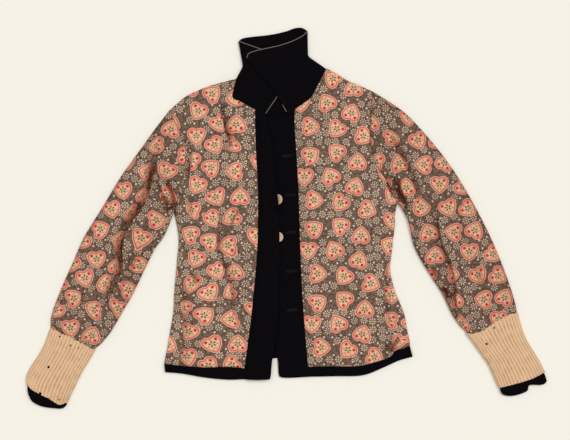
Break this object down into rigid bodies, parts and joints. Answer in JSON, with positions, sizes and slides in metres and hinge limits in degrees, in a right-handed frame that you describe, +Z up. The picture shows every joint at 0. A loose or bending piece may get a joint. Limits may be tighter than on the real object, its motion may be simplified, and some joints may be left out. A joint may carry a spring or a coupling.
{
  "type": "wool jacket",
  "caption": "Short lined wool jacket turned inside out and laid flat: printed lining outside, black wool stand collar, facings and hem, rib-knit cuffs, front closed by buttons.",
  "frame": {"origin": "middle of the outline's box, on the surface that the jacket lies on", "axes": "+X across the jacket to the viewer's right, +Y towards the collar, +Z up from the surface"},
  "size_m": [1.0372, 0.7577, 0.0115],
  "materials": {
    "lining": "printed cotton, matte",
    "wool": "fulled black wool, matte",
    "rib_knit": "cream wool rib knit",
    "horn": "pale horn, satin"
  },
  "bodies": {
    "root": {"back_panel": "lining", "front_left": "lining", "front_right": "lining", "sleeve_left": "lining", "sleeve_right": "lining", "facing_left": "wool", "facing_right": "wool", "hem_front_left": "wool", "hem_front_right": "wool", "hem_back": "wool", "collar_left": "wool", "collar_right": "wool", "sleeve_end_left": "wool", "sleeve_end_right": "wool", "cuff_left": "rib_knit", "cuff_right": "rib_knit", "button_1": "horn", "button_2": "horn", "button_3": "horn", "button_4": "horn", "button_5": "horn"}
  },
  "joints": []
}
